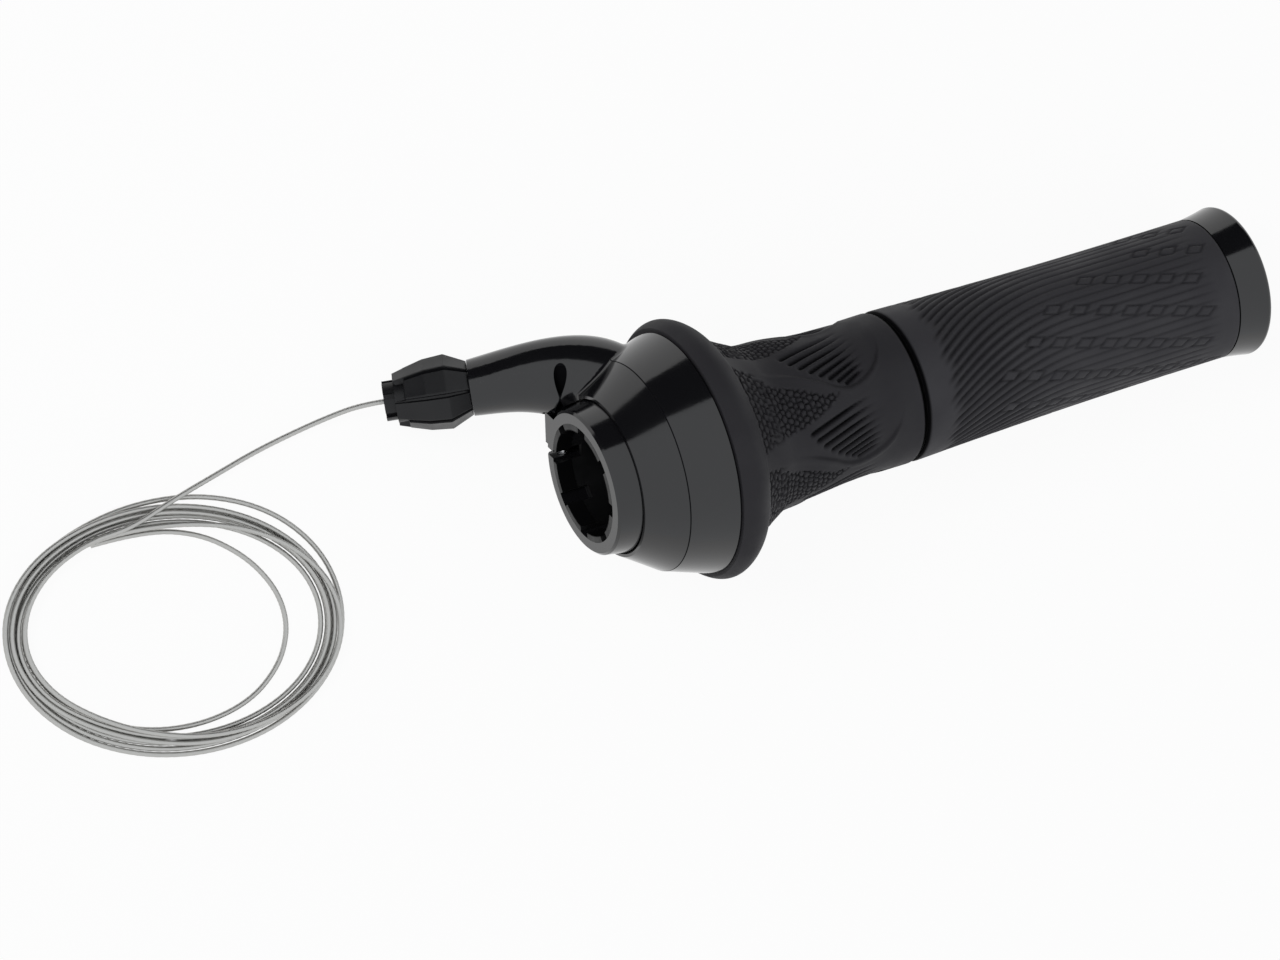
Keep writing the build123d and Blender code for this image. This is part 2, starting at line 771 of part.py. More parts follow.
# Adjuster knob: barrel with flat raised pads, splined to the bolt
with BuildPart() as adjuster_knob:
    with BuildSketch(Plane(origin=adjuster.origin, x_dir=adjuster.z_dir, z_dir=adjuster.y_dir)):
        with BuildLine():
            Polyline(
                (running_gap, knob_back_r),
                (knob_peak, knob_peak_r),
                (knob_mid, knob_mid_r),
                (knob_length, knob_front_r),
                (knob_length, core_diameter / 2 + thread_play),
                (knob_shoulder, core_diameter / 2 + thread_play),
                (knob_shoulder, thread_diameter / 2 + thread_play),
                (running_gap, thread_diameter / 2 + thread_play),
                close=True,
            )
        make_face()
    revolve(axis=Axis(adjuster.origin, adjuster.z_dir))
    with BuildSketch(adjuster):
        RegularPolygon(pad_flat_r, pad_count, major_radius=False, rotation=180 / pad_count)
    extrude(amount=knob_length, mode=Mode.INTERSECT)
    with BuildSketch(adjuster):
        with PolarLocations(knob_peak_r, pad_count, start_angle=180 / pad_count):
            Rectangle(2 * pad_groove_depth, pad_groove_width)
    extrude(amount=knob_length, mode=Mode.SUBTRACT)
    with BuildSketch(adjuster.offset(knob_length)):
        with PolarLocations(core_diameter / 2, pad_count):
            Rectangle(2 * (spline_depth - screw_play), spline_width - 2 * screw_play)
    extrude(amount=-spline_grip)

# Coil spring inside the knob
with BuildPart() as adjuster_spring:
    spring_inset = spring_wire / 2 + seat_gap
    spring_height = spring_room - 2 * spring_inset
    with BuildLine() as spring_path:
        Helix(
            pitch=spring_height / spring_turns,
            height=spring_height,
            radius=thread_diameter / 2 + thread_play + spring_inset,
            center=adjuster.offset(knob_shoulder + spring_inset).origin,
            direction=adjuster.z_dir,
        )
    with BuildSketch(Plane(origin=spring_path.line @ 0, z_dir=spring_path.line % 0)):
        Circle(spring_wire / 2)
    sweep(is_frenet=True)

# Resting pose: the flange and the lock collar both lie on the bench.
rest_tilt = degrees(atan2(flange_peak_r - lock_flare_r, lock_end_x - lock_round - flange_x - flange_peak))
resting = Location((0, 0, 0), (0, rest_tilt, 0))
pose = Plane.XY.rotated((0, rest_tilt, 0))
bench_z = pose.from_local_coords(Vector(flange_x + flange_peak, 0, -flange_peak_r)).Z

# Cable lead from the adjuster mouth down to the coil
mouth = pose.from_local_coords(adjuster.offset(adjuster_mouth).origin)
leaving = pose.from_local_coords(adjuster_heading)
lead_knots = [mouth, mouth + leaving * lead_straight]
for x, y in lead_points:
    lead_knots.append(Vector(x, y, bench_z + cable_diameter / 2))
lead_bends = []
for before, knot, after in zip(lead_knots, lead_knots[1:], lead_knots[2:]):
    arriving = knot - before
    departing = after - knot
    half_turn = radians(arriving.get_angle(departing)) / 2
    lead_bends.append(0.45 * min(arriving.length, departing.length) / tan(half_turn))
with BuildPart() as cable_lead:
    with BuildLine():
        FilletPolyline(*lead_knots, radius=lead_bends)
    with BuildSketch(Plane(origin=mouth, z_dir=leaving)):
        Circle(cable_diameter / 2)
    sweep()

# Bundle of cable turns on the bench
with BuildPart() as cable_coil:
    with BuildSketch(Plane((*coil_centre, bench_z)).rotated((0, 0, coil_turn))):
        Ellipse(coil_length / 2, coil_width / 2)
        Ellipse(coil_length / 2 - coil_band, coil_width / 2 - coil_band, mode=Mode.SUBTRACT)
    extrude(amount=coil_height)

shifter = {
    "bar_tube": bar_tube,
    "clamp_collar": clamp_collar,
    "clamp_screw": clamp_screw,
    "clamp_nut": clamp_nut,
    "housing": housing,
    "cable_guide": cable_guide,
    "cable_inner": cable_inner,
    "cable_wrap": cable_wrap,
    "cable_head": cable_head,
    "cable_spool": cable_spool,
    "twist_core": twist_core,
    "twist_rubber": twist_rubber,
    "index_ring": index_ring,
    "index_spring": index_spring,
    **bearings,
    "thrust_washer": thrust_washer,
    "retaining_ring": retaining_ring,
    "rest_core": rest_core,
    "rest_rubber": rest_rubber,
    "lock_collar": lock_collar,
    "lock_screw": lock_screw,
    "adjuster_bolt": adjuster_bolt,
    "adjuster_knob": adjuster_knob,
    "adjuster_spring": adjuster_spring,
}
placed = {name: piece.part.moved(resting) for name, piece in shifter.items()}
placed["cable_lead"] = cable_lead.part
placed["cable_coil"] = cable_coil.part

os.makedirs("parts", exist_ok=True)
for name, shape in placed.items():
    shape.label = name
    export_step(shape, f"parts/{name}.step")
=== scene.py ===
import json
import math
import bpy
import numpy as np
from mathutils import Matrix, Vector


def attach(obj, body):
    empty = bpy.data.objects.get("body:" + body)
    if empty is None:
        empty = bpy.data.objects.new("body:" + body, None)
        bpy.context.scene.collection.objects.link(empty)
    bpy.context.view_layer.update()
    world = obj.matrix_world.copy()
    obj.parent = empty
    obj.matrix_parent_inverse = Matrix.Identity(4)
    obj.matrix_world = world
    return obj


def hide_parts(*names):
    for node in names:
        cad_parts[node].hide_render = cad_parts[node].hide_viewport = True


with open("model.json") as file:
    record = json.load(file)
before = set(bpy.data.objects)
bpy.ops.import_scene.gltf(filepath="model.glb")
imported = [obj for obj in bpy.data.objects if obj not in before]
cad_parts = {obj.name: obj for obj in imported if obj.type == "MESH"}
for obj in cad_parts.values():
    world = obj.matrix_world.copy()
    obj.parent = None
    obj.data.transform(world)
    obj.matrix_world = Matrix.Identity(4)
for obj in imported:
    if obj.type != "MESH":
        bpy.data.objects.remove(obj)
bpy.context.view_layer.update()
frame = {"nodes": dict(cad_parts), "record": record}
mm = 0.001

# the shifter lies tilted, flange and lock collar both on the bench: place along the bar, radius
stance = {
    "flange": (25.7, 27.4),
    "collar": (155.88, 16.2),
}
flangeX, flangeRadius = stance["flange"]
collarX, collarRadius = stance["collar"]
barTilt = math.atan2(flangeRadius - collarRadius, collarX - flangeX)
barTurn = Matrix.Rotation(barTilt, 4, "Y")
benchHeight = (barTurn @ Vector((flangeX, 0, -flangeRadius))).z


def pick(*pieces):
    for thing in bpy.context.selected_objects:
        thing.select_set(False)
    for piece in pieces:
        piece.select_set(True)
        bpy.context.view_layer.objects.active = piece


def smooth(piece, angle):
    pick(piece)
    bpy.ops.object.shade_smooth_by_angle(angle=math.radians(angle))


def giveMaterial(piece, material):
    piece.data.materials.clear()
    piece.data.materials.append(material)


# camera at the photograph's angle, given along and across the bar
shot = {
    "right": (0.873, -0.2407, 0.424),
    "up": (0.2755, 0.9623, -0.022),
    "aimRight": 11.6,
    "aimUp": 0.69,
    "distance": 1212.0,
    "lens": 168.75,
    "sensor": 36.0,
    "nearest": 0.05,
}


def setCamera():
    right = (barTurn @ Vector(shot["right"])).normalized()
    up = barTurn @ Vector(shot["up"])
    up = (up - right * up.dot(right)).normalized()
    back = right.cross(up)
    aim = right * shot["aimRight"] + up * shot["aimUp"]
    bpy.ops.object.camera_add()
    camera = bpy.context.object
    camera.name = "benchCamera"
    camera.data.lens = shot["lens"]
    camera.data.sensor_width = shot["sensor"]
    camera.data.sensor_fit = "HORIZONTAL"
    camera.data.clip_start = shot["nearest"]
    place = Matrix.Translation((aim + back * shot["distance"]) * mm)
    camera.matrix_world = place @ Matrix((right, up, back)).transposed().to_4x4()
    bpy.context.scene.camera = camera


setCamera()
print("stage: camera")

# bare gear cable: out of the adjuster, over the bundle, then round and round on the bench
cable = {
    "diameter": 1.1,
    "length": 1.476,
    "mouth": (-29.1805, 24.548, -23.1311),
    "leaving": (-0.9384065, 0.0878673, -0.3341746),
    "straight": 5.0,
    # place on the bench, and height of the middle of the wire over the bench
    "lead": [
        (-40.5, 24.2, 2.3),
        (-50.0, 22.7, 1.2),
        (-58.0, 21.2, 1.1),
        (-66.0, 19.3, 1.7),
        (-75.5, 17.2, 2.8),
        (-86.5, 13.8, 2.85),
    ],
    "centre": (-82.4, -8.3),
    "turnedBy": -14.0,
    "halfLong": 35.3,
    "halfWide": 25.8,
    "pointsPerTurn": 16,
    "level": 1.12,
    "loosen": 0.16,
    # angle round the coil, distance in from the outermost turn, layer
    "lay": [
        (124, 4.6, 2),
        (160, 4.6, 2),
        (215, 4.0, 2),
        (290, 2.4, 2),
        (340, 0.5, 2),
        (365, 0.3, 2),
        (400, 2.0, 2),
        (440, 4.6, 2),
        (462, 5.4, 1.4),
        (475, 5.2, 1),
        (485, 4.8, 1),
        (570, 2.4, 1),
        (845, 2.4, 1),
        (930, 1.2, 1),
        (1205, 1.2, 1),
        (1245, 0.0, 1),
        (1255, 0.0, 1),
        (1300, 0.0, 0),
        (1410, 0.0, 0),
        (1450, -0.4, 0),
        (1490, -1.6, 0),
        (1520, -0.9, 0),
        (1560, 1.2, 0),
        (1840, 1.2, 0),
        (1910, 2.4, 0),
        (2200, 2.4, 0),
        (2270, 3.6, 0),
        (2560, 3.6, 0),
        (2630, 4.8, 0),
        (2785, 5.0, 0),
        (2820, 6.4, 0),
        (2860, 9.6, 0),
        (2885, 10.4, 0),
        (2920, 9.4, 0),
        (2960, 6.6, 0),
        (2985, 6.05, 0),
        (3012, 6.0, 0),
    ],
    # how far the upper turns part from the lower ones, at which angle, over how wide an angle
    "spread": 2.0,
    "spreadAt": 245.0,
    "spreadOver": 35.0,
    "strands": 8,
    "strandDip": 0.05,
    "twist": 740.0,
    "steps": 27,
    "smoothAngle": 50,
}


def cableRoute():
    mouth = Vector(cable["mouth"])
    route = [mouth, mouth + Vector(cable["leaving"]) * cable["straight"]]
    for x, y, height in cable["lead"]:
        route.append(Vector((x, y, benchHeight + height)))
    angles, insets, layers = zip(*cable["lay"])
    step = 360.0 / cable["pointsPerTurn"]
    grow = 1.0 / (0.75 + 0.25 * math.cos(math.radians(step)))  # the spline runs inside its points
    turned = Matrix.Rotation(math.radians(cable["turnedBy"]), 3, "Z")
    angle = angles[0]
    while angle <= angles[-1]:
        across = math.cos(math.radians(angle))
        inset = float(np.interp(angle, angles, insets)) * (1.0 + cable["loosen"] * across)
        layer = float(np.interp(angle, angles, layers))
        below = (angle % 360.0 - cable["spreadAt"]) / cable["spreadOver"]
        inset += cable["spread"] * min(layer, 1.0) * math.exp(-below * below)
        spot = Vector((
            (cable["halfLong"] - inset) * grow * across,
            (cable["halfWide"] - inset) * grow * math.sin(math.radians(angle)),
            benchHeight + cable["diameter"] / 2 + layer * cable["level"],
        ))
        route.append(turned @ spot + Vector((*cable["centre"], 0)))
        angle += step
    return route


def strandProfile():
    # one round of strands, swept along the cable and twisted with it
    bpy.ops.curve.primitive_bezier_circle_add(radius=1)
    profile = bpy.context.object
    count = cable["strands"] * 2
    profile.data.splines.clear()
    spline = profile.data.splines.new("POLY")
    spline.points.add(count - 1)
    for index, point in enumerate(spline.points):
        radius = cable["diameter"] / 2 * mm * (1.0 if index % 2 == 0 else 1.0 - cable["strandDip"])
        turn = 2 * math.pi * index / count
        point.co = (radius * math.cos(turn), radius * math.sin(turn), 0, 1)
    spline.use_cyclic_u = True
    return profile


def makeCable():
    route = cableRoute()
    bpy.ops.curve.primitive_nurbs_path_add()
    wire = bpy.context.object
    wire.name = "gearCable"
    bpy.ops.object.location_clear()
    wire.data.splines.clear()
    spline = wire.data.splines.new("NURBS")
    spline.points.add(len(route) - 1)
    for index, (point, spot) in enumerate(zip(spline.points, route)):
        point.co = (*(spot * mm), 1)
        point.tilt = cable["twist"] * (index / (len(route) - 1) - 0.5)
    spline.order_u = 3
    spline.use_endpoint_u = True
    spline.resolution_u = cable["steps"]
    wire.data.dimensions = "3D"
    wire.data.twist_mode = "Z_UP"
    bpy.context.view_layer.update()
    line = bpy.data.meshes.new_from_object(wire.evaluated_get(bpy.context.evaluated_depsgraph_get()))
    path = [tuple(vertex.co) for vertex in line.vertices]
    bpy.data.meshes.remove(line)
    profile = strandProfile()
    wire.data.bevel_mode = "OBJECT"
    wire.data.bevel_object = profile
    wire.data.use_fill_caps = True
    pick(wire)
    bpy.ops.object.convert(target="MESH")
    wire = bpy.context.object
    bpy.data.objects.remove(profile)
    smooth(wire, cable["smoothAngle"])
    run = sum((Vector(a) - Vector(b)).length for a, b in zip(path, path[1:]))
    print("stage: cable", round(run, 4), "m", len(wire.data.polygons), "faces")
    return wire, path


gearCable, cablePath = makeCable()
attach(gearCable, "shifter")
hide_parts("cable_lead", "cable_coil")

noiseSpan = (0.3, 0.7)  # nearly all of a noise lies between these
grainDepth = 0.0001


def newMaterial(name, colour, roughness, metallic=0.0, specular=0.5):
    material = bpy.data.materials.new(name)
    material.use_nodes = True
    shader = material.node_tree.nodes["Principled BSDF"]
    shader.inputs["Base Color"].default_value = (*colour, 1)
    shader.inputs["Roughness"].default_value = roughness
    shader.inputs["Metallic"].default_value = metallic
    shader.inputs["Specular IOR Level"].default_value = specular
    return material, shader


def addNoise(material, scale, detail):
    nodes = material.node_tree.nodes
    place = nodes.new("ShaderNodeTexCoord")
    noise = nodes.new("ShaderNodeTexNoise")
    noise.inputs["Scale"].default_value = scale
    noise.inputs["Detail"].default_value = detail
    material.node_tree.links.new(place.outputs["Object"], noise.inputs["Vector"])
    return noise.outputs["Fac"]


def spread(material, factor, low, high, socket):
    ramp = material.node_tree.nodes.new("ShaderNodeMapRange")
    ramp.inputs["From Min"].default_value = noiseSpan[0]
    ramp.inputs["From Max"].default_value = noiseSpan[1]
    ramp.inputs["To Min"].default_value = low
    ramp.inputs["To Max"].default_value = high
    material.node_tree.links.new(factor, ramp.inputs["Value"])
    material.node_tree.links.new(ramp.outputs["Result"], socket)


def tint(material, factor, dark, light, socket):
    mix = material.node_tree.nodes.new("ShaderNodeMix")
    mix.data_type = "RGBA"
    mix.inputs["A"].default_value = (*dark, 1)
    mix.inputs["B"].default_value = (*light, 1)
    material.node_tree.links.new(factor, mix.inputs["Factor"])
    material.node_tree.links.new(mix.outputs["Result"], socket)


def bump(material, factor, strength, depth, socket):
    node = material.node_tree.nodes.new("ShaderNodeBump")
    node.inputs["Strength"].default_value = strength
    node.inputs["Distance"].default_value = depth
    material.node_tree.links.new(factor, node.inputs["Height"])
    material.node_tree.links.new(node.outputs["Normal"], socket)


def maths(owner, operation, first, second):
    node = owner.node_tree.nodes.new("ShaderNodeMath")
    node.operation = operation
    for socket, value in zip(node.inputs, (first, second)):
        if isinstance(value, float):
            socket.default_value = value
        else:
            owner.node_tree.links.new(value, socket)
    return node.outputs["Value"]


def vectorMaths(material, operation, first, second):
    node = material.node_tree.nodes.new("ShaderNodeVectorMath")
    node.operation = operation
    for socket, value in zip(node.inputs, (first, second)):
        if isinstance(value, tuple):
            socket.default_value = value
        else:
            material.node_tree.links.new(value, socket)
    return node


def rise(material, value, low, high, bottom=0.0, top=1.0):
    level = material.node_tree.nodes.new("ShaderNodeMapRange")
    level.inputs["From Min"].default_value = low * mm
    level.inputs["From Max"].default_value = high * mm
    level.inputs["To Min"].default_value = bottom
    level.inputs["To Max"].default_value = top
    material.node_tree.links.new(value, level.inputs["Value"])
    return level.outputs["Result"]


def gapTo(material, value, target):
    return maths(material, "ABSOLUTE", maths(material, "SUBTRACT", value, target * mm), 0.0)


def barPlace(material):
    # spot seen along the level bar, place along it and distance from its axis
    nodes = material.node_tree.nodes
    links = material.node_tree.links
    place = nodes.new("ShaderNodeTexCoord")
    turn = nodes.new("ShaderNodeMapping")
    turn.inputs["Rotation"].default_value = (0, -barTilt, 0)
    links.new(place.outputs["Object"], turn.inputs["Vector"])
    spot = turn.outputs["Vector"]
    split = nodes.new("ShaderNodeSeparateXYZ")
    links.new(spot, split.inputs["Vector"])
    flat = vectorMaths(material, "MULTIPLY", spot, (0, 1, 1)).outputs["Vector"]
    reach = vectorMaths(material, "LENGTH", flat, (0, 0, 0)).outputs["Value"]
    return spot, split.outputs["X"], reach


# painted shade inside the tube: its gloss is turned down there, as hardly any light comes back out of it
boreShade = {
    "shine": 0.02,
    "edge": (-0.05, 0.1),
}


def darkBore(material, shader, radius):
    reach = barPlace(material)[2]
    shine = shader.inputs["Specular IOR Level"]
    low, high = (radius + edge for edge in boreShade["edge"])
    dull = rise(material, reach, low, high, boreShade["shine"], shine.default_value)
    material.node_tree.links.new(dull, shine)


# a fine dark line between the housing's cone and barrel, and painted shade in the bore to the clamp
# screw; the gloss is turned off on both
housingLineAndBoreShade = {
    "linePlace": 12.6,
    "lineRadius": 22.2,
    "lineEdge": (0.07, 0.15),
    "lineDeep": (0.4, 0.6),
    "boreSpot": (2.95, 6.354, -12.363),
    "boreWay": (0, 0.8894, 0.4571),
    "boreEdge": (1.33, 1.36),
}


def paintLineAndBoreShade(material, shader):
    spot, along, reach = barPlace(material)
    beside = rise(material, gapTo(material, along, housingLineAndBoreShade["linePlace"]), *housingLineAndBoreShade["lineEdge"])
    apart = rise(material, gapTo(material, reach, housingLineAndBoreShade["lineRadius"]), *housingLineAndBoreShade["lineDeep"])
    bare = maths(material, "MAXIMUM", beside, apart)
    boreSpot = tuple(value * mm for value in housingLineAndBoreShade["boreSpot"])
    away = vectorMaths(material, "SUBTRACT", spot, boreSpot).outputs["Vector"]
    aside = vectorMaths(material, "CROSS_PRODUCT", away, housingLineAndBoreShade["boreWay"]).outputs["Vector"]
    wide = vectorMaths(material, "LENGTH", aside, (0, 0, 0)).outputs["Value"]
    # painted shade: no gloss inside the clamp screw's bore
    bare = maths(material, "MULTIPLY", bare, rise(material, wide, *housingLineAndBoreShade["boreEdge"]))
    shine = shader.inputs["Specular IOR Level"]
    material.node_tree.links.new(maths(material, "MULTIPLY", bare, shine.default_value), shine)


# plastics: a noise for the haze, scale and detail, which drives the roughness, and one for the grain
pitchBlack = (0.006, 0.006, 0.007)
glossLook = {
    "specular": 0.64,
    "haze": (90, 4),
    "roughness": (0.09, 0.15),
    "grain": (1400, 2),
    "grainStrength": 0.04,
}
satinLook = {
    "specular": 0.34,
    "haze": (200, 4),
    "roughness": (0.32, 0.46),
    "grain": (3200, 2),
    "grainStrength": 0.12,
}
mouldedLook = {
    "specular": 0.4,
    "haze": (260, 3),
    "roughness": (0.42, 0.58),
    "grain": (2600, 2),
    "grainStrength": 0.1,
    "lighter": 1.25,
}


def plastic(name, colour, look):
    material, shader = newMaterial(name, colour, sum(look["roughness"]) / 2, specular=look["specular"])
    haze = addNoise(material, *look["haze"])
    spread(material, haze, *look["roughness"], shader.inputs["Roughness"])
    grain = addNoise(material, *look["grain"])
    bump(material, grain, look["grainStrength"], grainDepth, shader.inputs["Normal"])
    return material, shader, haze


def glossBlack(name, lineAndBoreShade=False):
    material, shader, haze = plastic(name, pitchBlack, glossLook)
    # the housing gets the dark line and the painted shade in its screw bore
    if lineAndBoreShade:
        paintLineAndBoreShade(material, shader)
    return material


def satinBlack(name):
    return plastic(name, pitchBlack, satinLook)[0]


def mouldedPlastic(name, colour, bore=None):
    material, shader, haze = plastic(name, colour, mouldedLook)
    light = tuple(value * mouldedLook["lighter"] for value in colour)
    tint(material, haze, colour, light, shader.inputs["Base Color"])
    if bore:
        darkBore(material, shader, bore)
    return material


# rubber, with painted shade in its grooves, gaps and hidden faces, taken from an attribute of the mesh
rubberLook = {
    "cloud": (130, 5),
    "shades": (0.88, 1.2),
    "roughness": (0.58, 0.74),
    "skin": (5200, 3),
    "skinStrength": 0.25,
    # colour and gloss of the painted shade
    "paintedShadeColour": (0.003, 0.003, 0.0035),
    "paintedShadeShine": 0.05,
}


def shadeCuts(material, shader):
    nodes = material.node_tree.nodes
    links = material.node_tree.links
    # painted shade: the attribute darkens the colour and dulls the gloss
    paintedShade = nodes.new("ShaderNodeAttribute")
    paintedShade.attribute_name = "paintedShade"
    mix = nodes.new("ShaderNodeMix")
    mix.data_type = "RGBA"
    skin = shader.inputs["Base Color"].links[0].from_socket
    links.new(paintedShade.outputs["Fac"], mix.inputs["Factor"])
    links.new(skin, mix.inputs["A"])
    mix.inputs["B"].default_value = (*rubberLook["paintedShadeColour"], 1)
    links.new(mix.outputs["Result"], shader.inputs["Base Color"])
    shine = shader.inputs["Specular IOR Level"]
    dull = nodes.new("ShaderNodeMapRange")
    dull.inputs["To Min"].default_value = shine.default_value
    dull.inputs["To Max"].default_value = rubberLook["paintedShadeShine"]
    links.new(paintedShade.outputs["Fac"], dull.inputs["Value"])
    links.new(dull.outputs["Result"], shine)


def rubber(name, tone, gloss):
    roughness = rubberLook["roughness"]
    material, shader = newMaterial(name, tone, sum(roughness) / 2, specular=gloss)
    cloud = addNoise(material, *rubberLook["cloud"])
    dark, light = (tuple(value * shade for value in tone) for shade in rubberLook["shades"])
    tint(material, cloud, dark, light, shader.inputs["Base Color"])
    spread(material, cloud, *roughness, shader.inputs["Roughness"])
    skin = addNoise(material, *rubberLook["skin"])
    bump(material, skin, rubberLook["skinStrength"], grainDepth, shader.inputs["Normal"])
    shadeCuts(material, shader)
    return material


steelLook = {
    "drawn": (900, 3),
    "darker": 0.82,
    "drawnStrength": 0.08,
    "drawnDepth": 0.00005,
}


def brightSteel(name, colour, low, high):
    material, shader = newMaterial(name, colour, (low + high) / 2, metallic=1.0)
    drawn = addNoise(material, *steelLook["drawn"])
    spread(material, drawn, low, high, shader.inputs["Roughness"])
    dark = tuple(value * steelLook["darker"] for value in colour)
    tint(material, drawn, dark, colour, shader.inputs["Base Color"])
    bump(material, drawn, steelLook["drawnStrength"], steelLook["drawnDepth"], shader.inputs["Normal"])
    return material


finishes = {
    "housing_plastic": glossBlack("housingGloss", lineAndBoreShade=True),
    "clamp_plastic": glossBlack("collarGloss"),
    # the tube and the core get painted shade inside their bores
    "tube_plastic": mouldedPlastic("tubePlastic", (0.003, 0.003, 0.0033), bore=11.3),
    "core_plastic": mouldedPlastic("corePlastic", (0.004, 0.004, 0.0044), bore=12.6),
    "index_plastic": mouldedPlastic("indexPlastic", (0.2, 0.2, 0.21)),
    "cage_plastic": mouldedPlastic("cageNylon", (0.5, 0.48, 0.43)),
    "adjuster_plastic": satinBlack("satinBlackPlastic"),
    "grip_rubber": rubber("gripRubber", (0.0165, 0.0157, 0.0185), 0.3),
    "outer_rubber": rubber("outerRubber", (0.0235, 0.0225, 0.0265), 0.42),
    "cable_steel": brightSteel("cableSteel", (0.55, 0.545, 0.525), 0.36, 0.5),
    "screw_steel": brightSteel("screwSteel", (0.68, 0.68, 0.69), 0.2, 0.32),
    "spring_steel": brightSteel("springSteel", (0.5, 0.5, 0.51), 0.24, 0.36),
    "ball_steel": brightSteel("ballSteel", (0.72, 0.72, 0.73), 0.06, 0.12),
}
finishes["collar_plastic"] = finishes["clamp_plastic"]

slotOf = {part["node"]: part["material_slot"] for part in frame["record"]["subparts"]}
for nodeName, nodeObject in frame["nodes"].items():
    giveMaterial(nodeObject, finishes[slotOf[nodeName]])
giveMaterial(gearCable, finishes["cable_steel"])
print("stage: finishes")


def splineLine(points, count, startPull=None, endPull=None):
    # smooth line through the points, pulled at its ends or with free ends
    knots = np.array(points, float)
    runs = np.linalg.norm(np.diff(knots, axis=0), axis=1)
    place = np.concatenate(([0.0], np.cumsum(runs)))
    size = len(knots)
    system = np.zeros((size, size))
    known = np.zeros((size, 2))
    for index in range(1, size - 1):
        before, after = runs[index - 1], runs[index]
        system[index, index - 1 : index + 2] = (after, 2 * (before + after), before)
        stepIn = after / before * (knots[index] - knots[index - 1])
        stepOut = before / after * (knots[index + 1] - knots[index])
        known[index] = 3 * (stepIn + stepOut)
    for row, pull, other, run in ((0, startPull, 1, runs[0]), (size - 1, endPull, size - 2, runs[-1])):
        if pull is None:
            system[row, row] = 2
            system[row, other] = 1
            known[row] = 3 * (knots[max(row, other)] - knots[min(row, other)]) / run
        else:
            system[row, row] = 1
            known[row] = pull
    ways = np.linalg.solve(system, known)
    line = []
    for along in np.linspace(0, place[-1], count):
        index = min(int(np.searchsorted(place, along, side="right")) - 1, size - 2)
        run = runs[index]
        t = (along - place[index]) / run
        line.append(
            (2 * t**3 - 3 * t**2 + 1) * knots[index]
            + (t**3 - 2 * t**2 + t) * run * ways[index]
            + (3 * t**2 - 2 * t**3) * knots[index + 1]
            + (t**3 - t**2) * run * ways[index + 1]
        )
    return [tuple(spot) for spot in line]


def ease(value, low, high):
    t = np.clip((value - low) / (high - low), 0.0, 1.0)
    return t * t * (3 - 2 * t)


def swell(value, start, full, fall, end):
    return ease(value, start, full) * (1 - ease(value, fall, end))


def ridge(value, middle, wide):
    return np.exp(-(((value - middle) / wide) ** 2))


sleeveFinish = {
    "merge": 0.000002,
    "smoothAngle": 38,
}


def wrapSleeve(name, outline, columns, relief, stand):
    # a flat grid is wrapped round an axis: its columns go round, its rows follow the outline
    rows = len(outline)
    pick()
    bpy.ops.mesh.primitive_grid_add(x_subdivisions=columns, y_subdivisions=rows, size=1)
    sleeve = bpy.context.object
    sleeve.name = name
    spots = np.empty(len(sleeve.data.vertices) * 3)
    sleeve.data.vertices.foreach_get("co", spots)
    spots = spots.reshape(-1, 3)
    column = np.rint((spots[:, 0] + 0.5) * columns).astype(int) % columns
    row = np.rint((spots[:, 1] + 0.5) * rows).astype(int) % rows
    line = np.array(outline)[row]
    angle = 2 * math.pi * column / columns
    along = line[:, 0]
    patterned = line[:, 2]
    height, paintedShade = relief(along, np.degrees(angle))
    radius = line[:, 1] + height * patterned
    spots = np.stack((along, radius * np.cos(angle), radius * np.sin(angle)), axis=1) * mm
    sleeve.data.vertices.foreach_set("co", spots.ravel())
    # painted shade from the relief, full on the hidden rows of bore, end faces and gaps
    shade = sleeve.data.attributes.new("paintedShade", "FLOAT", "POINT")
    shade.data.foreach_set("value", np.clip(paintedShade * patterned + 1 - patterned, 0, 1))
    sleeve.data.transform(stand)
    sleeve.data.update()
    bpy.ops.object.mode_set(mode="EDIT")
    bpy.ops.mesh.select_all(action="SELECT")
    bpy.ops.mesh.remove_doubles(threshold=sleeveFinish["merge"])
    bpy.ops.mesh.normals_make_consistent(inside=False)
    bpy.ops.object.mode_set(mode="OBJECT")
    smooth(sleeve, sleeveFinish["smoothAngle"])
    return sleeve


